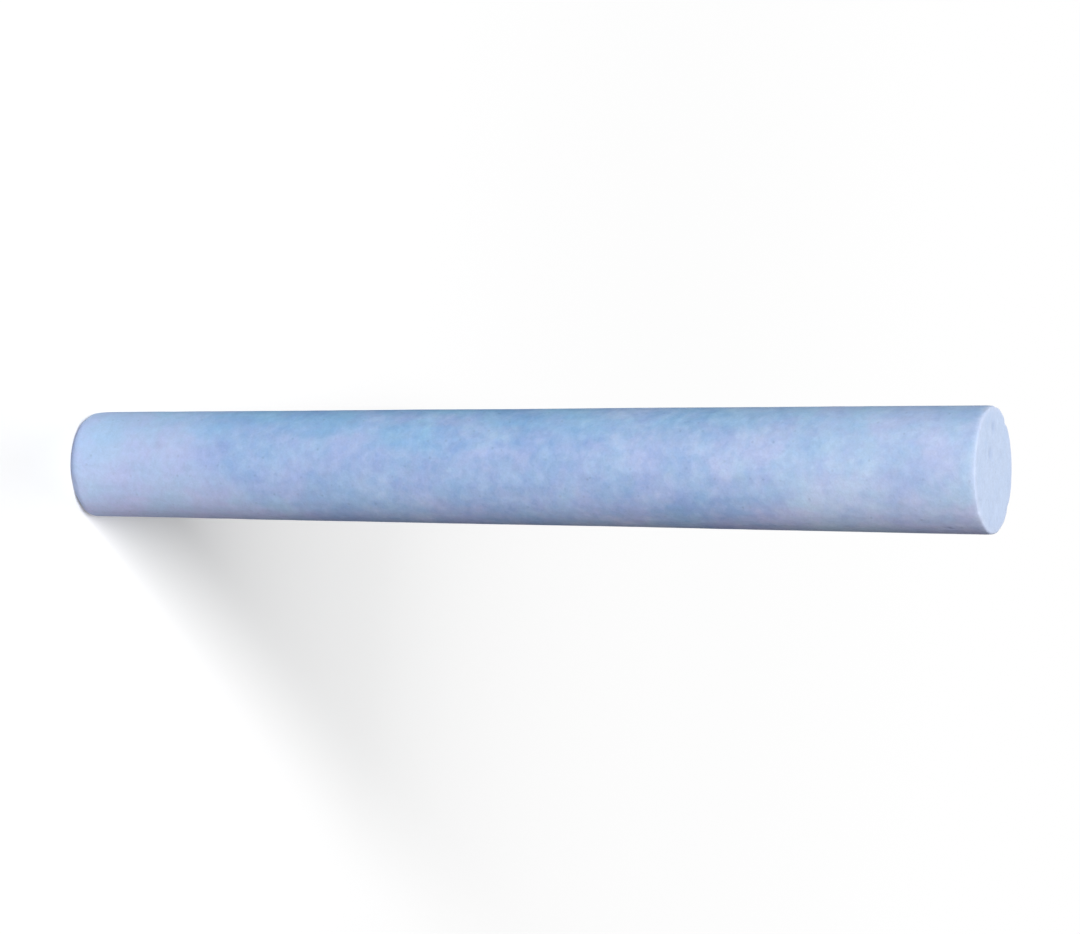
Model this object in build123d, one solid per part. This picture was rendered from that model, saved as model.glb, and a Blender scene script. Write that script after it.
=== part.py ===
from build123d import *
import os

# A moulded stick of blackboard chalk, in millimetres.
# It stands upright on its small end: the origin is the centre of that end's flat face,
# and +Z runs along the stick to the centre of its large end.

STICK_LENGTH = 80.0           # from one flat end face to the other
LARGE_END_DIAMETER = 10.5     # at the mould's open mouth, where the wet chalk was struck off level
SMALL_END_DIAMETER = 8.9      # at the mould's closed bottom: the taper lets the stick slide out
LARGE_END_ROUNDING = 0.25     # the struck-off rim is crisp, with only its sharpness worn away
SMALL_END_ROUNDING = 0.9      # the mould's bottom corner leaves the small end softly rounded

large_end_radius = LARGE_END_DIAMETER / 2
small_end_radius = SMALL_END_DIAMETER / 2


def half_section():
    """One half of the stick cut lengthwise, on the XZ plane with the stick's axis as one side."""
    base_centre = (0.0, 0.0)
    base_corner = (small_end_radius, 0.0)
    top_corner = (large_end_radius, STICK_LENGTH)
    top_centre = (0.0, STICK_LENGTH)
    outline = Polyline(base_centre, base_corner, top_corner, top_centre, close=True)
    section = make_face(Plane.XZ * outline)
    outer_corners = section.vertices().sort_by(Axis.X)[-2:].sort_by(Axis.Z)
    section = fillet(outer_corners[0], SMALL_END_ROUNDING)
    mouth_corner = section.vertices().sort_by(Axis.X)[-1]
    return fillet(mouth_corner, LARGE_END_ROUNDING)


def chalk_stick():
    """The whole stick: its half section turned once round its own axis."""
    return revolve(half_section(), Axis.Z)


os.makedirs("parts", exist_ok=True)
export_step(chalk_stick(), "parts/chalk_stick.step")
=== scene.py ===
import itertools
import math

import bpy
import numpy as np
from bpy.props import FloatProperty, FloatVectorProperty, IntProperty, PointerProperty
from mathutils import Matrix, Vector


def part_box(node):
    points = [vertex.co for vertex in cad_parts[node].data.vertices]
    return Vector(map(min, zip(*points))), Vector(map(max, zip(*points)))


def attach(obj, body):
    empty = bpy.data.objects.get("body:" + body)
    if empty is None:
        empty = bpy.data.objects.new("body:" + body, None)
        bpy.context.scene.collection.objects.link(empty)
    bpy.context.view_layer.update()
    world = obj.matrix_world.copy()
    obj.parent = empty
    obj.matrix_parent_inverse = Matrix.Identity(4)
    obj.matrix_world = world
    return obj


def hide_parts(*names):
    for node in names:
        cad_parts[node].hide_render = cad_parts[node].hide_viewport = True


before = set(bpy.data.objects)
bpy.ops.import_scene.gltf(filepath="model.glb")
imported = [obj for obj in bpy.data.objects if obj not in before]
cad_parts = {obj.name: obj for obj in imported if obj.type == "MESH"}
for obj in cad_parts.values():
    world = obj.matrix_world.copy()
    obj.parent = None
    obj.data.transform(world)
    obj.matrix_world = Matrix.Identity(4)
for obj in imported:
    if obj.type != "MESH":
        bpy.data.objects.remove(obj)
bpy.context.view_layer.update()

bl_info = {
    "name": "Blue Chalk Stick",
    "version": (1, 0, 0),
    "blender": (4, 5, 0),
    "location": "View3D > Sidebar > Chalk",
    "description": "Moulds the worn surface of a blue chalk stick and sets it on a plain pale stage",
    "category": "Object",
}

CAD_NODE = "chalk_stick"
PIECE = "blue_chalk_stick"
BODY = "root"

NODE_LOW, NODE_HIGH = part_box(CAD_NODE)
STICK_LENGTH = NODE_HIGH.z - NODE_LOW.z
LARGE_END_DIAMETER = NODE_HIGH.x - NODE_LOW.x

MM = 0.001
PER_MM = 1000.0

FACE_DIMPLES = ((-3.5, -0.3, 0.9), (-1.3, -1.1, 0.8))      # x, y and reach on the large end, in mm


# ---------------------------------------------------------------- settings

class StickShape(bpy.types.PropertyGroup):
    """Sizes of the moulded stick and of the marks that moulding and handling leave on it."""

    small_end_diameter: FloatProperty(
        name="Small end", description="Width of the end that was at the bottom of the mould",
        default=8.9 * MM, unit="LENGTH", precision=5)
    small_end_rounding: FloatProperty(
        name="Small end rounding", description="Radius between the small end's face and the side",
        default=0.9 * MM, unit="LENGTH", precision=5)
    large_end_rounding: FloatProperty(
        name="Large end rounding", description="Radius of the struck-off rim",
        default=0.25 * MM, unit="LENGTH", precision=5)
    segments_round: IntProperty(
        name="Segments round", description="Faces round the stick", default=240, min=48)
    rings_along: IntProperty(
        name="Rings along", description="Rings of faces along the side", default=316, min=48)
    unevenness: FloatProperty(
        name="Unevenness", description="Depth of the slow waves that the mould and drying leave",
        default=0.05 * MM, unit="LENGTH", precision=5)
    lumpiness: FloatProperty(
        name="Lumpiness", description="Depth of the small soft lumps of the chalk's skin",
        default=0.018 * MM, unit="LENGTH", precision=5)
    drag_depth: FloatProperty(
        name="Drag marks", description="Depth of the lengthwise marks from sliding out of the mould",
        default=0.012 * MM, unit="LENGTH", precision=5)
    pit_depth: FloatProperty(
        name="Pits", description="Depth of the largest air-bubble pits",
        default=0.13 * MM, unit="LENGTH", precision=5)
    rim_wear: FloatProperty(
        name="Rim wear", description="Most that is rubbed and chipped off the large end's rim",
        default=0.13 * MM, unit="LENGTH", precision=5)
    heel_wear: FloatProperty(
        name="Small end wear", description="Most that is rubbed off the small end's rounded corner",
        default=0.20 * MM, unit="LENGTH", precision=5)
    scrape_depth: FloatProperty(
        name="Scrape marks", description="Depth of the marks from striking the large end off level",
        default=0.02 * MM, unit="LENGTH", precision=5)
    dimple_depth: FloatProperty(
        name="Dimples", description="Depth of the shallow dimples in the large end's face",
        default=0.09 * MM, unit="LENGTH", precision=5)


class ChalkFinish(bpy.types.PropertyGroup):
    """Colours of the chalk, as linear red, green and blue, and how strongly they vary."""

    deep_colour: FloatVectorProperty(
        name="Deep", description="The deepest blue, where the dye has gathered",
        default=(0.294, 0.430, 0.718), subtype="COLOR", size=3, min=0.0, max=1.0)
    body_colour: FloatVectorProperty(
        name="Body", description="The chalk's usual pale blue",
        default=(0.392, 0.518, 0.780), subtype="COLOR", size=3, min=0.0, max=1.0)
    pale_colour: FloatVectorProperty(
        name="Pale", description="The palest blue, where fine dust has dried on the skin",
        default=(0.515, 0.622, 0.842), subtype="COLOR", size=3, min=0.0, max=1.0)
    dusty_colour: FloatVectorProperty(
        name="Dusty", description="The greyer small end, which rubs on its neighbours in the box",
        default=(0.462, 0.545, 0.775), subtype="COLOR", size=3, min=0.0, max=1.0)
    face_colour: FloatVectorProperty(
        name="Struck face", description="The paler face of the large end",
        default=(0.560, 0.668, 0.875), subtype="COLOR", size=3, min=0.0, max=1.0)
    # Paler rubbed chalk on the edges, with a painted highlight along them.
    worn_and_highlight_colour: FloatVectorProperty(
        name="Worn rim", description="Fresh chalk, where the edges are rubbed",
        default=(0.640, 0.715, 0.900), subtype="COLOR", size=3, min=0.0, max=1.0)
    # Painted shade: the darker colour laid into pits and the face's dimples.
    pit_shade_colour: FloatVectorProperty(
        name="Pit", description="The shaded inside of a pit",
        default=(0.265, 0.360, 0.610), subtype="COLOR", size=3, min=0.0, max=1.0)
    mottling: FloatProperty(
        name="Mottling", description="How far the clouds of dye stray from the even tone",
        default=1.5, min=0.0, max=4.0)
    tinting: FloatProperty(
        name="Tinting", description="How far the blue strays to lavender and to sky blue",
        default=0.04, min=0.0, max=0.2)
    curdling: FloatProperty(
        name="Curdling", description="How far the small curds stray from the tone round them",
        default=0.14, min=0.0, max=1.0)
    speckling: FloatProperty(
        name="Speckling", description="How much darker or paler the small specks are",
        default=0.07, min=0.0, max=0.5)
    graininess: FloatProperty(
        name="Graininess", description="How much the powdery grain darkens and lightens the skin",
        default=0.03, min=0.0, max=0.5)


class StageSetup(bpy.types.PropertyGroup):
    """Where the camera and the lamps stand round the upright stick."""

    camera_elevation: FloatProperty(
        name="Camera elevation", description="Angle of the camera above the floor",
        default=math.radians(20.7), subtype="ANGLE", unit="ROTATION")
    camera_distance: FloatProperty(
        name="Camera distance", description="From the camera to the point it looks at",
        default=0.5257, unit="LENGTH", precision=4)
    camera_lean: FloatProperty(
        name="Camera lean", description="How far the stick's axis is turned off the picture's level",
        default=math.radians(0.4), subtype="ANGLE", unit="ROTATION")
    aim_share: FloatProperty(
        name="Aim height", description="Height the camera looks at, as a share of the stick's length",
        default=0.511, min=0.0, max=1.0)
    picture_share: FloatProperty(
        name="Picture share", description="Share of the picture's long side that the stick spans",
        default=0.88, min=0.1, max=1.0)
    key_elevation: FloatProperty(
        name="Key elevation", description="Angle of the soft key lamp above the floor",
        default=math.radians(42.0), subtype="ANGLE", unit="ROTATION")
    key_bearing: FloatProperty(
        name="Key bearing", description="Angle of the key lamp round the stick from the camera",
        default=math.radians(13.0), subtype="ANGLE", unit="ROTATION")
    key_power: FloatProperty(
        name="Key power", description="Power of the key lamp, in watts", default=23.5, min=0.0)
    sky_strength: FloatProperty(
        name="Surrounding light", description="Strength of the even light from all round",
        default=0.13, min=0.0)
    back_elevation: FloatProperty(
        name="Back elevation", description="Angle above the floor of the soft lamp behind the stick",
        default=math.radians(15.0), subtype="ANGLE", unit="ROTATION")
    back_power: FloatProperty(
        name="Back power", description="Power of the soft lamp behind the stick, in watts",
        default=12.0, min=0.0)
    lamp_distance: FloatProperty(
        name="Lamp distance", description="From each lamp to the middle of the stick",
        default=1.5, unit="LENGTH")
    key_side: FloatProperty(
        name="Key size", description="Side of the square key lamp", default=0.6, unit="LENGTH")
    back_side: FloatProperty(
        name="Back size", description="Side of the square lamp behind the stick",
        default=0.9, unit="LENGTH")


# ---------------------------------------------------------------- random fields

ODD_BY_AXIS = (0x9E3779B97F4A7C15, 0xC2B2AE3D27D4EB4F, 0x165667B19E3779F9)
ODD_BY_SEED = 0x27D4EB2F165667C5
ODD_BY_ROUND = 0xFF51AFD7ED558CCD
STIR_SHIFTS = (33, 29, 32)
WORD_BITS = 64
FRACTION_BITS = 53
NOISE_GAIN = 1.6                # brings the blended slopes to about -1 to 1
SMALLEST_PIT = 0.25             # radius of the smallest pit, as a share of the widest one's


def lattice_random(corner, seed):
    """A repeatable number from 0 to 1 for each whole-number corner: its three indices are multiplied
    by large odd numbers, joined bit by bit with the seed, and stirred by shifts and products."""
    index = corner.astype(np.int64).astype(np.uint64)
    mixed = np.full(len(corner), seed * ODD_BY_SEED % 2 ** WORD_BITS, dtype=np.uint64)
    for axis, odd in enumerate(ODD_BY_AXIS):
        mixed ^= index[:, axis] * np.uint64(odd)
    for shift in STIR_SHIFTS:
        mixed ^= mixed >> np.uint64(shift)
        mixed *= np.uint64(ODD_BY_ROUND)
    return (mixed >> np.uint64(WORD_BITS - FRACTION_BITS)).astype(float) / 2.0 ** FRACTION_BITS


def smooth_noise(points, cell, seed):
    """Gradient noise, about -1 to 1. Every corner of a cubic lattice holds a random slope, and a point
    blends its offsets from the eight corners round it, each times that corner's slope, by
    6t^5 - 15t^4 + 10t^3 of its place in the cell."""
    place = points / cell
    base = np.floor(place)
    inside = place - base
    fade = inside ** 3 * (inside * (inside * 6 - 15) + 10)
    total = np.zeros(len(points))
    for step in itertools.product((0, 1), repeat=3):
        corner = base + step
        slope = np.stack([lattice_random(corner, seed + axis) for axis in range(3)], axis=1) * 2 - 1
        weight = np.prod(np.where(step, fade, 1 - fade), axis=1)
        total += weight * np.sum(slope * (inside - step), axis=1)
    return total * NOISE_GAIN


def layered_noise(points, cell, layers, seed):
    """Smooth noises added up, each with half the cell and half the height of the one before."""
    return sum(smooth_noise(points, cell / 2 ** k, seed + 10 * k) / 2 ** k for k in range(layers))


def bubble_pits(points, cell, share, widest, seed):
    """Bowls, 0 outside and up to 1 at the bottom. A share of the cells of a cubic lattice each hold one
    centre at a random place with a random radius up to widest cells, mostly small, and a bowl is
    (1 - distance^2 / radius^2)^1.5, times its radius over the widest."""
    place = points / cell
    base = np.floor(place)
    depth = np.zeros(len(points))
    for step in itertools.product((-1, 0, 1), repeat=3):
        corner = base + step
        centre = corner + np.stack([lattice_random(corner, seed + axis) for axis in range(3)], axis=1)
        radius = widest * (SMALLEST_PIT + (1 - SMALLEST_PIT) * lattice_random(corner, seed + 3) ** 3)
        held = lattice_random(corner, seed + 4) < share
        reach = np.sum((place - centre) ** 2, axis=1) / radius ** 2
        bowl = np.clip(1 - reach, 0, 1) ** 1.5 * radius / widest
        depth = np.maximum(depth, np.where(held, bowl, 0))
    return depth


def smooth_step(value, start, end):
    """0 before start, 1 after end, and 3t^2 - 2t^3 between."""
    t = np.clip((value - start) / (end - start), 0, 1)
    return t * t * (3 - 2 * t)


def zero_to_one(noise):
    """Brings a noise of -1 to 1 to 0 to 1."""
    return 0.5 + 0.5 * noise


def drawn_out(points, times):
    """The places with their heights divided, so that marks read there are that many times as long."""
    return points * (1, 1, 1 / times)


# ---------------------------------------------------------------- the stick's surface

FOOT_RINGS = 14                 # on the small end's face
HEEL_RINGS = 15                 # round the small end's corner
RIM_RINGS = 11                  # round the large end's rim
FACE_RINGS = 26                 # on the large end's face

WAVE_CELL = 7 * MM              # cell of the noise that makes each kind of mark
LUMP_CELL = 2.4 * MM
DRAG_CELL = 0.9 * MM
PIT_CELL = 2.4 * MM
CHIP_CELL = 1.8 * MM
HEEL_CELL = 3.0 * MM
SCRAPE_CELL = 0.9 * MM

RUB_REACH = 0.40 * MM           # how far from the edge each kind of wear goes
CHIP_REACH = 0.55 * MM
HEEL_REACH = 1.1 * MM

PIT_SHARE = 0.15                # share of the cells that hold a pit
WIDEST_PIT = 0.19               # radius in cells
CHIPPED = (0.35, 0.95)          # heights of the rim's noise, from no chip to a whole one
RUBBED_SHARE = 0.25             # share of the rim's wear that is rubbing, not chips
FOOT_PIT_LOSS = 0.6             # share of the pits' depth that is rubbed off the foot
FOOT_FLATNESS = 0.92            # share of all relief that the foot has lost
PIT_SHADE = 1.2                 # how strongly pits and dimples are darkened by painted shade for their depth
DIMPLE_SHADE = 0.5
SCRAPE_ANGLE = 0.5              # radians, on the large end's face
SCRAPE_LENGTH = 10              # length of a scrape mark over its width

FLAT_END = (0.75, 0.98)         # the normal's share along the axis, from a rounding to an end's flat
OFF_SIDE = (0.2, 0.6)           # and from the side to a rounding


def meridian(shape):
    """Half the stick's outline as rings of radius and height, from the centre of the small end's face
    to the centre of the large end's: a straight run, a quarter round, the tapered side, a quarter
    round and a straight run back to the axis. With each ring comes the angle of its outward normal
    above the level."""
    small = shape.small_end_diameter / 2
    large = LARGE_END_DIAMETER / 2
    heel = shape.small_end_rounding
    rim = shape.large_end_rounding
    taper = math.atan2(large - small, STICK_LENGTH)
    heel_radius = small - heel
    rim_radius = large - rim
    heel_turn = np.linspace(-math.pi / 2, -taper, HEEL_RINGS)
    rim_turn = np.linspace(-taper, math.pi / 2, RIM_RINGS)
    side = np.linspace(0, 1, shape.rings_along + 1)[1:-1]
    heel_end = (heel_radius + heel * math.cos(taper), heel * (1 - math.sin(taper)))
    rim_start = (rim_radius + rim * math.cos(taper), STICK_LENGTH - rim * (1 + math.sin(taper)))
    foot = np.linspace(0, heel_radius, FOOT_RINGS + 1)[:-1]
    face = np.linspace(rim_radius, 0, FACE_RINGS + 1)[1:]
    radius = np.concatenate([
        foot,
        heel_radius + heel * np.cos(heel_turn),
        heel_end[0] + side * (rim_start[0] - heel_end[0]),
        rim_radius + rim * np.cos(rim_turn),
        face])
    height = np.concatenate([
        np.zeros_like(foot),
        heel + heel * np.sin(heel_turn),
        heel_end[1] + side * (rim_start[1] - heel_end[1]),
        STICK_LENGTH - rim + rim * np.sin(rim_turn),
        np.full_like(face, STICK_LENGTH)])
    turn = np.concatenate([
        np.full_like(foot, -math.pi / 2),
        heel_turn,
        np.full_like(side, -taper),
        rim_turn,
        np.full_like(face, math.pi / 2)])
    return radius, height, turn


def turned_grid(shape):
    """The outline turned round the stick's axis: one row of points for each ring between the two poles,
    as arrays of places and outward normals, in rows by segments order."""
    radius, height, turn = meridian(shape)
    angle = np.linspace(0, 2 * math.pi, shape.segments_round, endpoint=False)
    around = np.stack([np.cos(angle), np.sin(angle), np.zeros_like(angle)], axis=1)
    up = np.array([0.0, 0.0, 1.0])
    points = radius[1:-1, None, None] * around + height[1:-1, None, None] * up
    normals = np.cos(turn)[1:-1, None, None] * around + np.sin(turn)[1:-1, None, None] * up
    return points.reshape(-1, 3), normals.reshape(-1, 3)


def mould_marks(points, side, shape):
    """Depth of the slow waves, the small lumps and, on the side, the drag marks: each is a noise from 0
    to 1 times its depth. The waves are twice as long as wide, and the drag marks twenty times."""
    waves = smooth_noise(drawn_out(points, 2), WAVE_CELL, seed=1)
    lumps = layered_noise(points, LUMP_CELL, layers=2, seed=2)
    drags = smooth_noise(drawn_out(points, 20), DRAG_CELL, seed=3)
    depth = shape.unevenness * zero_to_one(waves) + shape.lumpiness * zero_to_one(lumps)
    return depth + shape.drag_depth * side * zero_to_one(drags)


def worn_rim_and_highlight(points, from_rim, shape):
    """What is lost from the large end's rim, and how pale it is drawn there, for newly bared chalk and
    for a painted highlight along the edge. Rubbing fades as exp(-d^2), with d the distance from the edge
    over its reach, and is uneven by a noise. Chips fade as exp(-d^4) and sit only where that noise is
    high."""
    ragged = layered_noise(points, CHIP_CELL, layers=2, seed=6)
    rub = np.exp(-(from_rim / RUB_REACH) ** 2)
    chips = smooth_step(ragged, *CHIPPED) * np.exp(-(from_rim / CHIP_REACH) ** 4)
    loss = shape.rim_wear * (RUBBED_SHARE * rub * (1 + ragged) + (1 - RUBBED_SHARE) * chips)
    # paler where rubbed or chipped, which also paints a highlight along the rim
    fresh_and_highlight = rub * (0.8 + 0.4 * ragged) + 0.5 * chips
    return loss, fresh_and_highlight


def worn_heel_and_highlight(points, from_heel, shape):
    """What is lost from the small end's corner, and how pale it is drawn there, for newly bared chalk
    and
    for a painted highlight along the edge: exp(-d^2), with d the distance from the corner over its
    reach, made uneven by a noise drawn out along the stick."""
    ragged = layered_noise(drawn_out(points, 2.5), HEEL_CELL, layers=2, seed=7)
    rub = np.exp(-(from_heel / HEEL_REACH) ** 2)
    loss = shape.heel_wear * rub * smooth_step(ragged, -0.5, 0.9)
    # paler where rubbed, which also paints a highlight along the corner
    fresh_and_highlight = 0.45 * rub * (0.5 + ragged)
    return loss, fresh_and_highlight


def scrape_marks(points):
    """0 to 1, for striking the end off level: a noise on places turned about the axis by the scrapes'
    angle and then drawn out along one direction of the face."""
    turned = points @ np.array([
        [math.cos(SCRAPE_ANGLE), math.sin(SCRAPE_ANGLE), 0],
        [-math.sin(SCRAPE_ANGLE), math.cos(SCRAPE_ANGLE), 0],
        [0, 0, 1]])
    return zero_to_one(smooth_noise(turned * (1 / SCRAPE_LENGTH, 1, 1), SCRAPE_CELL, seed=8))


def face_dimples(points):
    """0 outside and 1 at the middle of each dimple, by (1 - distance^2 / reach^2)^2."""
    depth = np.zeros(len(points))
    for x, y, reach in FACE_DIMPLES:
        beside = np.hypot(points[:, 0] - x * MM, points[:, 1] - y * MM) / (reach * MM)
        depth = np.maximum(depth, np.clip(1 - beside ** 2, 0, 1) ** 2)
    return depth


def worn_depths(points, normals, shape):
    """How far each point is sunk below the moulded form, and three shares from 0 to 1 that the finish
    reads: how worn the point is, which also sets a painted highlight on the rubbed edges, how deep in a
    pit or a dimple, which sets their painted shade, and how much of it is the struck-off face. The foot
    that the stick stands on is rubbed almost flat."""
    radius = np.hypot(points[:, 0], points[:, 1])
    height = points[:, 2]
    up = normals[:, 2]
    from_rim = np.hypot(radius - LARGE_END_DIAMETER / 2, height - STICK_LENGTH)
    from_heel = np.hypot(radius - shape.small_end_diameter / 2, height)
    struck = smooth_step(up, *FLAT_END)
    foot = smooth_step(-up, *FLAT_END)
    side = 1 - smooth_step(np.abs(up), *OFF_SIDE)

    pits = bubble_pits(points, PIT_CELL, PIT_SHARE, WIDEST_PIT, seed=4) * (1 - FOOT_PIT_LOSS * foot)
    dimples = struck * face_dimples(points)
    rim_loss, rim_fresh_and_highlight = worn_rim_and_highlight(points, from_rim, shape)
    heel_loss, heel_fresh_and_highlight = worn_heel_and_highlight(points, from_heel, shape)

    depth = mould_marks(points, side, shape) + rim_loss + heel_loss
    depth += shape.scrape_depth * struck * scrape_marks(points)
    depth += shape.pit_depth * pits + shape.dimple_depth * dimples
    depth *= 1 - FOOT_FLATNESS * foot
    # the worn share: paler rubbed chalk together with a painted highlight on both ends' edges
    worn = np.clip(rim_fresh_and_highlight + heel_fresh_and_highlight, 0, 1)
    # painted shade in pits and dimples, the deeper the darker
    painted_pit_shade = np.clip(np.maximum(PIT_SHADE * pits, DIMPLE_SHADE * dimples), 0, 1)
    return depth, worn, painted_pit_shade, struck


def grid_faces(rows, columns):
    """Four-sided faces between each two neighbouring rings, closed round the stick, and a fan of
    three-sided ones at each pole, whose points come last. All face outwards."""
    ring = np.arange(rows - 1)[:, None] * columns
    here = np.arange(columns)[None, :]
    after = (here + 1) % columns
    quads = np.stack([ring + here, ring + after, ring + columns + after, ring + columns + here], axis=2)
    bottom = rows * columns
    top = bottom + 1
    last = (rows - 1) * columns
    column = np.arange(columns)
    beside = (column + 1) % columns
    bottom_fan = np.stack([np.full(columns, bottom), beside, column], axis=1)
    top_fan = np.stack([np.full(columns, top), last + column, last + beside], axis=1)
    return quads.reshape(-1, 4), bottom_fan, top_fan


def mesh_from_arrays(name, points, quads, triangles, attributes):
    """A smooth-shaded mesh of the quads and triangles, with each named attribute at its points."""
    mesh = bpy.data.meshes.new(name)
    corners = np.concatenate([quads.ravel(), triangles.ravel()]).astype(np.int32)
    sizes = np.concatenate([np.full(len(quads), 4), np.full(len(triangles), 3)])
    starts = (np.cumsum(sizes) - sizes).astype(np.int32)
    mesh.vertices.add(len(points))
    mesh.vertices.foreach_set("co", points.astype(np.float32).ravel())
    mesh.loops.add(len(corners))
    mesh.loops.foreach_set("vertex_index", corners)
    mesh.polygons.add(len(sizes))
    mesh.polygons.foreach_set("loop_start", starts)
    mesh.polygons.foreach_set("use_smooth", np.ones(len(sizes), dtype=bool))
    for key, values in attributes.items():
        layer = mesh.attributes.new(key, "FLOAT", "POINT")
        layer.data.foreach_set("value", values.astype(np.float32))
    mesh.update(calc_edges=True)
    if mesh.validate():
        raise RuntimeError(name + ": the mesh had faulty faces")
    return mesh


def stick_mesh(shape):
    """The turned grid, each point sunk along its normal by its worn depth, with both poles closed at
    the mean height of the ring beside them."""
    points, normals = turned_grid(shape)
    depth, worn, painted_pit_shade, struck = worn_depths(points, normals, shape)
    points = points - normals * depth[:, None]
    columns = shape.segments_round
    rows = len(points) // columns
    poles = np.array([[0, 0, points[:columns, 2].mean()], [0, 0, points[-columns:, 2].mean()]])
    shares = {}
    # The pit share holds the painted shade of pits and dimples, and the worn share also holds a painted
    # highlight on the rubbed edges.
    for key, values in (("worn", worn), ("pit", painted_pit_shade), ("struck", struck)):
        shares[key] = np.concatenate([values, [values[:columns].mean(), values[-columns:].mean()]])
    quads, bottom_fan, top_fan = grid_faces(rows, columns)
    triangles = np.concatenate([bottom_fan, top_fan])
    return mesh_from_arrays(PIECE, np.concatenate([points, poles]), quads, triangles, shares)


# ---------------------------------------------------------------- the chalk's finish

# The Mix node's colour sockets share their names with its number sockets, so they go by index.
MIX_FACTOR = 0
MIX_FIRST = 6
MIX_SECOND = 7
MIX_RESULT = 2


class Recipe:
    """A material's node tree with short calls that add one linked node each."""

    def __init__(self, name):
        self.material = bpy.data.materials.new(name)
        self.material.use_nodes = True
        self.tree = self.material.node_tree
        self.tree.nodes.clear()

    def node(self, kind, settings=None, inputs=None):
        """A new node with its settings, and its inputs linked to a socket or set to a value."""
        made = self.tree.nodes.new(kind)
        for key, value in (settings or {}).items():
            setattr(made, key, value)
        for key, value in (inputs or {}).items():
            if isinstance(value, bpy.types.NodeSocket):
                self.tree.links.new(value, made.inputs[key])
            else:
                made.inputs[key].default_value = value
        return made

    def stretched(self, place, stretch=(1, 1, 1), shift=(0, 0, 0)):
        """The place scaled along each axis and then moved, which gives a noise of its own."""
        made = self.node("ShaderNodeMapping", {}, {"Vector": place, "Scale": stretch, "Location": shift})
        return made.outputs["Vector"]

    def noise(self, place, scale, detail, roughness, distortion=0.0):
        """Cloudy noise round 0.5, with about scale clouds for each unit of place."""
        made = self.node("ShaderNodeTexNoise", {}, {
            "Vector": place, "Scale": scale, "Detail": detail, "Roughness": roughness,
            "Distortion": distortion})
        return made.outputs["Fac"]

    def ramp(self, value, low, high, start=0.0, end=1.0):
        """Start where the value is at low, end where it is at high, which may be the lesser of the two,
        and a smooth step between."""
        made = self.node("ShaderNodeMapRange", {"interpolation_type": "SMOOTHSTEP"}, {
            "Value": value, "From Min": low, "From Max": high, "To Min": start, "To Max": end})
        return made.outputs["Result"]

    def math(self, operation, first, second):
        """One operation on two numbers."""
        made = self.node("ShaderNodeMath", {"operation": operation}, {0: first, 1: second})
        return made.outputs[0]

    def mix(self, factor, first, second, blend="MIX"):
        """From the first colour at factor 0 to the second, or their blend, at 1."""
        made = self.node("ShaderNodeMix", {"data_type": "RGBA", "blend_type": blend}, {
            MIX_FACTOR: factor, MIX_FIRST: first, MIX_SECOND: second})
        return made.outputs[MIX_RESULT]

    def away(self, value, middle):
        """How far the value is from the middle, either way."""
        return self.math("ABSOLUTE", self.math("SUBTRACT", value, middle), 0.0)

    def times(self, colour, factor):
        """The colour times a tint or a plain number."""
        return self.mix(1.0, colour, factor, "MULTIPLY")

    def blend(self, value, colours):
        """Evenly spaced colours, from the first at 0 to the last at 1."""
        made = self.node("ShaderNodeValToRGB", {}, {"Fac": value})
        stops = made.color_ramp.elements
        for extra in range(len(colours) - 2):
            stops.new((extra + 1) / (len(colours) - 1))
        for stop, colour in zip(stops, colours):
            stop.color = opaque(colour)
        return made.outputs["Color"]

    def specks(self, place, scale, share, radius):
        """Soft round specks, 1 at the middle and 0 outside, one in each of a share of random cells."""
        cells = self.node("ShaderNodeTexVoronoi", {"feature": "F1"}, {"Vector": place, "Scale": scale})
        held = self.math("LESS_THAN", self.split(cells.outputs["Color"], "Red"), share)
        return self.math("MULTIPLY", held, self.ramp(cells.outputs["Distance"], 0.0, radius, 1.0, 0.0))

    def split(self, colour, channel):
        """One channel of a colour."""
        return self.node("ShaderNodeSeparateColor", {}, {"Color": colour}).outputs[channel]

    def share(self, key):
        """A number that the mesh holds at its points."""
        return self.node("ShaderNodeAttribute", {"attribute_name": key}).outputs["Fac"]


def opaque(colour):
    """The colour with an alpha of 1."""
    return (*colour, 1.0)


def dye_depth(recipe, place, drifted, finish):
    """0 where the chalk is deepest and 1 where it is palest: a little paler by the small end, deepest
    before the middle and pale towards the large end, with clouds of every size from 6 mm down to less
    than 1 mm and small curds, strongest round the middle, that are darker or paler than the clouds."""
    clouds = recipe.noise(place, scale=0.18, detail=3, roughness=0.7, distortion=0.1)
    by_small_end = recipe.ramp(drifted, 0.05, 0.24, start=0.30, end=0.0)
    to_large_end = recipe.ramp(drifted, 0.50, 0.86, start=0.28, end=0.78)
    spread = recipe.math("MULTIPLY", recipe.math("SUBTRACT", clouds, 0.5), finish.mottling)
    curds = recipe.noise(
        recipe.stretched(place, shift=(0, 20, 0)), scale=0.95, detail=2, roughness=0.55, distortion=0.15)
    curds = recipe.math("SUBTRACT", recipe.ramp(curds, 0.53, 0.64), recipe.ramp(curds, 0.47, 0.37))
    curdled = recipe.ramp(
        recipe.away(drifted, 0.5), 0.1, 0.4, start=1.3 * finish.curdling, end=0.7 * finish.curdling)
    spread = recipe.math("ADD", spread, recipe.math("MULTIPLY", curds, curdled))
    return recipe.math("ADD", recipe.math("ADD", by_small_end, to_large_end), spread)


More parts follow.
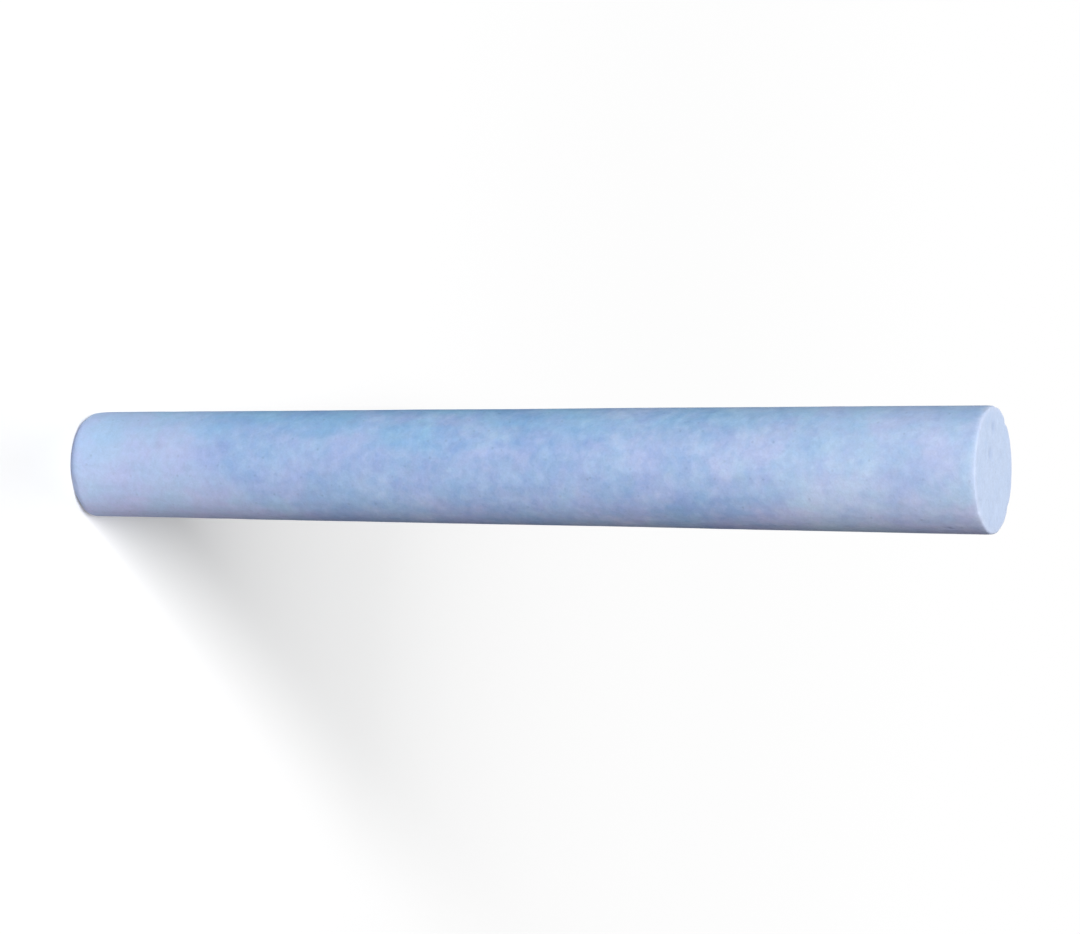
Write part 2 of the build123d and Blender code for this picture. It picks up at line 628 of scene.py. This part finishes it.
def dye_and_painted_bounce_tint(recipe, place, drifted, finish):
    """A tint near white that turns the blue to lavender in some clouds and to sky blue in others. It
    leans to sky blue on the -X side, most of all before the middle, and on the +X side it adds a painted
    violet cast of reflected light."""
    lean = finish.tinting
    lavender = opaque((1 + lean, 1 - 0.8 * lean, 1.0))
    sky_blue = opaque((1 - lean, 1 + 0.8 * lean, 1.0))
    sky_side = opaque((0.76, 0.975, 1.0))
    # painted reflected light: a violet cast on the +X side
    painted_violet_bounce = opaque((1.10, 0.985, 1.0))
    field = recipe.noise(
        recipe.stretched(place, shift=(0, 50, 0)), scale=0.22, detail=3, roughness=0.75, distortion=0.2)
    tint = recipe.mix(recipe.ramp(field, 0.33, 0.67), lavender, sky_blue)
    across = recipe.node("ShaderNodeSeparateXYZ", {}, {"Vector": place}).outputs["X"]
    stray = recipe.noise(
        recipe.stretched(place, (1, 1, 0.4), shift=(0, 0, 70)), scale=0.3, detail=2, roughness=0.6)
    across = recipe.math("ADD", across, recipe.ramp(stray, 0.2, 0.8, start=-2.0, end=2.0))
    bluer = recipe.ramp(across, -1.2, -4.8)
    before_middle = recipe.ramp(recipe.away(drifted, 0.38), 0.08, 0.38, start=1.0, end=0.55)
    bluer = recipe.math("MULTIPLY", bluer, before_middle)
    tint = recipe.mix(bluer, tint, recipe.times(tint, sky_side))
    # Lays the painted violet cast of reflected light over the +X side.
    return recipe.mix(recipe.ramp(across, 2.0, 5.2), tint, recipe.times(tint, painted_violet_bounce))


def skin_tone(recipe, place, grain, powder, finish):
    """A number near 1 for the small marks: faint lengthwise streaks, dark and pale specks about 1 mm
    across, tiny holes darkened with painted shade, and powdery grain."""
    streaks = recipe.noise(recipe.stretched(place, (1, 1, 0.05)), scale=1.1, detail=2, roughness=0.5)
    dark = recipe.specks(place, scale=0.42, share=0.5, radius=0.34)
    pale = recipe.specks(recipe.stretched(place, shift=(9, 9, 9)), scale=0.42, share=0.4, radius=0.32)
    pinhole_shade = recipe.specks(place, scale=1.3, share=0.3, radius=0.24)
    streaking = 0.5 * finish.graininess
    tone = recipe.ramp(streaks, 0.3, 0.7, start=1 - streaking, end=1 + streaking)
    # Tiny holes are darkened as painted shade.
    for marks, strength in ((dark, -finish.speckling), (pale, 0.7 * finish.speckling),
                            (pinhole_shade, -2.3 * finish.speckling)):
        tone = recipe.math("ADD", tone, recipe.math("MULTIPLY", marks, strength))
    for field in (grain, powder):
        rise = recipe.ramp(field, 0.3, 0.7, start=-finish.graininess, end=finish.graininess)
        tone = recipe.math("ADD", tone, rise)
    return tone


def chalk_material(finish):
    """Dry moulded chalk: clouded blues at several sizes, specks and powdery grain, tiny holes darkened
    with painted shade, a paler struck-off face, rubbed edges made paler with a painted highlight, pits
    with painted shade and a painted violet cast of reflected light on the +X side. Places are in
    millimetres on the stick, whose axis is Z. Tones that change along the stick follow its height as a
    share of its length, drifted a little this way and that by a slow noise, so that no tone ends on a
    ring."""
    recipe = Recipe("blue chalk")
    spot = recipe.node("ShaderNodeTexCoord").outputs["Object"]
    place = recipe.stretched(spot, (PER_MM, PER_MM, PER_MM))
    height = recipe.node("ShaderNodeSeparateXYZ", {}, {"Vector": spot}).outputs["Z"]
    height = recipe.math("DIVIDE", height, STICK_LENGTH)
    grain = recipe.noise(place, scale=1.8, detail=2, roughness=0.6)
    powder = recipe.noise(place, scale=6.0, detail=2, roughness=0.6)

    stray = recipe.noise(recipe.stretched(place, shift=(40, 0, 0)), scale=0.12, detail=1, roughness=0.5)
    drifted = recipe.math("ADD", height, recipe.ramp(stray, 0.2, 0.8, start=-0.12, end=0.12))
    depth = dye_depth(recipe, place, drifted, finish)
    colour = recipe.blend(depth, (finish.deep_colour, finish.body_colour, finish.pale_colour))
    dusty = recipe.ramp(drifted, 0.02, 0.22, start=0.65, end=0.0)
    colour = recipe.mix(dusty, colour, opaque(finish.dusty_colour))
    colour = recipe.times(colour, dye_and_painted_bounce_tint(recipe, place, drifted, finish))
    face_clouds = recipe.noise(place, scale=0.6, detail=3, roughness=0.6)
    struck = recipe.share("struck")
    cover = recipe.ramp(face_clouds, 0.25, 0.6, start=0.75, end=1.0)
    colour = recipe.mix(recipe.math("MULTIPLY", struck, cover), colour, opaque(finish.face_colour))
    # Rubbed edges turn paler, and this also paints a highlight along them.
    worn = recipe.math("MULTIPLY", recipe.share("worn"), 0.8)
    colour = recipe.mix(worn, colour, opaque(finish.worn_and_highlight_colour))
    # Painted shade darkens the pits and the face's dimples.
    shaded = recipe.math("MULTIPLY", recipe.share("pit"), 0.6)
    colour = recipe.mix(shaded, colour, opaque(finish.pit_shade_colour))
    colour = recipe.times(colour, skin_tone(recipe, place, grain, powder, finish))

    dust = recipe.math("ADD", recipe.math("MULTIPLY", grain, 0.6), recipe.math("MULTIPLY", powder, 0.4))
    relief = recipe.node("ShaderNodeBump", {}, {
        "Height": dust, "Distance": 0.06 * MM, "Strength": 0.6}).outputs["Normal"]
    skin = recipe.node("ShaderNodeBsdfPrincipled", {}, {
        "Base Color": colour, "Roughness": recipe.ramp(grain, 0.3, 0.7, start=0.82, end=0.96),
        "Specular IOR Level": 0.25, "Diffuse Roughness": 0.15, "Normal": relief})
    recipe.node("ShaderNodeOutputMaterial", {}, {"Surface": skin.outputs["BSDF"]})
    return recipe.material


# ---------------------------------------------------------------- the stage

FLOOR_RADIUS = 3.0
FLOOR_SIDES = 96
FLOOR_TONE = 0.95               # what the camera sees of the floor, before it is lifted to white
FLOOR_LIFT = 0.16               # strength of the white glow that lifts it
FADE_START = 0.04               # distances from the stick, between which the floor fades to white
FADE_END = 0.26
NEAR_FOOT = 0.006               # distances between which the light thrown back falls off
OFF_FOOT = 0.04
THROWN_NEAR = 0.80              # share of the light that is thrown back on the stick
THROWN_FAR = 0.38
PLAIN_WHITE = (1.0, 1.0, 1.0, 1.0)
NEAREST_SEEN = 0.01             # where the camera's view begins


def white_glow(recipe, strength):
    """White light of that strength, the same from every side."""
    glow = recipe.node("ShaderNodeEmission", {}, {"Color": PLAIN_WHITE, "Strength": strength})
    return glow.outputs["Emission"]


def floor_material():
    """Matt pale floor that keeps the stick's shadow and fades to plain white away from it. The camera
    sees it near white. What it throws back on the stick is a mid grey's light, and more by the foot."""
    recipe = Recipe("pale floor")
    spot = recipe.node("ShaderNodeTexCoord").outputs["Object"]
    seen = recipe.node("ShaderNodeLightPath").outputs["Is Camera Ray"]
    distance = recipe.node("ShaderNodeVectorMath", {"operation": "LENGTH"}, {0: spot}).outputs["Value"]
    thrown = recipe.ramp(distance, NEAR_FOOT, OFF_FOOT, THROWN_NEAR, THROWN_FAR)
    table = recipe.node("ShaderNodeBsdfDiffuse", {}, {"Color": thrown}).outputs["BSDF"]
    tone = opaque((FLOOR_TONE, FLOOR_TONE, FLOOR_TONE))
    matt = recipe.node("ShaderNodeBsdfDiffuse", {}, {"Color": tone}).outputs["BSDF"]
    white = white_glow(recipe, 1.0)
    lift = white_glow(recipe, FLOOR_LIFT)
    lifted = recipe.node("ShaderNodeAddShader", {}, {0: matt, 1: lift}).outputs["Shader"]
    far = recipe.ramp(distance, FADE_START, FADE_END)
    faded = recipe.node("ShaderNodeMixShader", {}, {0: far, 1: lifted, 2: white}).outputs["Shader"]
    blended = recipe.node("ShaderNodeMixShader", {}, {0: seen, 1: table, 2: faded}).outputs["Shader"]
    recipe.node("ShaderNodeOutputMaterial", {}, {"Surface": blended})
    return recipe.material


def floor_mesh():
    """A flat disc at the height the stick stands on."""
    angle = np.linspace(0, 2 * math.pi, FLOOR_SIDES, endpoint=False)
    rim = np.stack([np.cos(angle), np.sin(angle), np.zeros_like(angle)], axis=1) * FLOOR_RADIUS
    rim[:, 2] = NODE_LOW.z
    mesh = bpy.data.meshes.new("floor")
    mesh.from_pydata(rim.tolist(), [], [list(range(len(rim)))])
    return mesh


def point_from(target, bearing, elevation, distance):
    """The place at that distance from the target, bearing round from -Y towards -X, and elevation up."""
    level = math.cos(elevation)
    toward = Vector((-math.sin(bearing) * level, -math.cos(bearing) * level, math.sin(elevation)))
    return target + toward * distance


def aim(thing, target, picture_up):
    """Turns a lamp or camera to look at the target, with picture_up towards the top of its view."""
    back = (thing.location - target).normalized()
    right = picture_up.cross(back).normalized()
    up = back.cross(right)
    thing.rotation_euler = Matrix((right, up, back)).transposed().to_euler()


def add_camera(setup):
    """A long lens that looks down the upright stick, turned on its side so that the stick lies across
    the picture with its large end to the right."""
    camera = bpy.data.cameras.new("camera")
    holder = bpy.data.objects.new("camera", camera)
    bpy.context.collection.objects.link(holder)
    target = Vector((0, 0, NODE_LOW.z + setup.aim_share * STICK_LENGTH))
    holder.location = point_from(target, 0.0, setup.camera_elevation, setup.camera_distance)
    picture_up = Vector((-math.cos(setup.camera_lean), 0, -math.sin(setup.camera_lean)))
    aim(holder, target, picture_up)
    seen_length = STICK_LENGTH * math.cos(setup.camera_elevation)
    seen_length += LARGE_END_DIAMETER * math.sin(setup.camera_elevation)
    half_view = seen_length / setup.picture_share / 2 / setup.camera_distance
    camera.lens = camera.sensor_width / 2 / half_view
    camera.clip_start = NEAREST_SEEN
    bpy.context.scene.camera = holder


def add_softbox(name, bearing, elevation, distance, side, power):
    """A square lamp that looks at the middle of the stick and isn't seen itself."""
    lamp = bpy.data.lights.new(name, "AREA")
    lamp.shape = "SQUARE"
    lamp.size = side
    lamp.energy = power
    holder = bpy.data.objects.new(name, lamp)
    holder.visible_camera = False
    bpy.context.collection.objects.link(holder)
    target = Vector((0, 0, NODE_LOW.z + STICK_LENGTH / 2))
    holder.location = point_from(target, bearing, elevation, distance)
    aim(holder, target, Vector((0, 0, 1)))


def add_sky(setup):
    """Even white light from all round, which the camera sees as plain white."""
    world = bpy.data.worlds.new("studio")
    world.use_nodes = True
    tree = world.node_tree
    tree.nodes.clear()
    path = tree.nodes.new("ShaderNodeLightPath")
    level = tree.nodes.new("ShaderNodeMapRange")
    level.inputs["To Min"].default_value = setup.sky_strength
    level.inputs["To Max"].default_value = 1.0
    glow = tree.nodes.new("ShaderNodeBackground")
    glow.inputs["Color"].default_value = PLAIN_WHITE
    output = tree.nodes.new("ShaderNodeOutputWorld")
    tree.links.new(path.outputs["Is Camera Ray"], level.inputs["Value"])
    tree.links.new(level.outputs["Result"], glow.inputs["Strength"])
    tree.links.new(glow.outputs["Background"], output.inputs["Surface"])
    bpy.context.scene.world = world


# ---------------------------------------------------------------- operators and panel

class CHALK_OT_mould_stick(bpy.types.Operator):
    """Mould the blue chalk stick with its worn surface and powdery finish"""

    bl_idname = "chalk.mould_stick"
    bl_label = "Mould Chalk Stick"

    def execute(self, context):
        scene = context.scene
        mesh = stick_mesh(scene.chalk_shape)
        mesh.materials.append(chalk_material(scene.chalk_finish))
        stick = bpy.data.objects.new(PIECE, mesh)
        context.collection.objects.link(stick)
        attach(stick, BODY)
        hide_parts(CAD_NODE)
        return {"FINISHED"}


class CHALK_OT_set_stage(bpy.types.Operator):
    """Lay the pale floor and set the soft lamps and the camera"""

    bl_idname = "chalk.set_stage"
    bl_label = "Set Stage"

    def execute(self, context):
        setup = context.scene.chalk_stage
        floor = bpy.data.objects.new("floor", floor_mesh())
        floor.data.materials.append(floor_material())
        context.collection.objects.link(floor)
        add_sky(setup)
        add_softbox("key_softbox", setup.key_bearing, setup.key_elevation, setup.lamp_distance,
                    side=setup.key_side, power=setup.key_power)
        add_softbox("back_softbox", math.pi, setup.back_elevation, setup.lamp_distance,
                    side=setup.back_side, power=setup.back_power)
        add_camera(setup)
        context.scene.view_settings.view_transform = "Standard"
        return {"FINISHED"}


class CHALK_PT_panel(bpy.types.Panel):
    """Lists the steps that make the stick and its stage"""

    bl_idname = "CHALK_PT_panel"
    bl_label = "Chalk Stick"
    bl_space_type = "VIEW_3D"
    bl_region_type = "UI"
    bl_category = "Chalk"

    def draw(self, context):
        for operator in OPERATORS:
            self.layout.operator(operator.bl_idname)


GROUPS = {"chalk_shape": StickShape, "chalk_finish": ChalkFinish, "chalk_stage": StageSetup}
OPERATORS = (CHALK_OT_mould_stick, CHALK_OT_set_stage)


def register():
    for kind in (*GROUPS.values(), *OPERATORS, CHALK_PT_panel):
        bpy.utils.register_class(kind)
    for key, group in GROUPS.items():
        setattr(bpy.types.Scene, key, PointerProperty(type=group))


def unregister():
    for key in GROUPS:
        delattr(bpy.types.Scene, key)
    for kind in reversed((*GROUPS.values(), *OPERATORS, CHALK_PT_panel)):
        bpy.utils.unregister_class(kind)


def main():
    """Makes the stick and its stage."""
    register()
    bpy.ops.chalk.mould_stick()
    bpy.ops.chalk.set_stage()


if __name__ == "__main__":
    main()
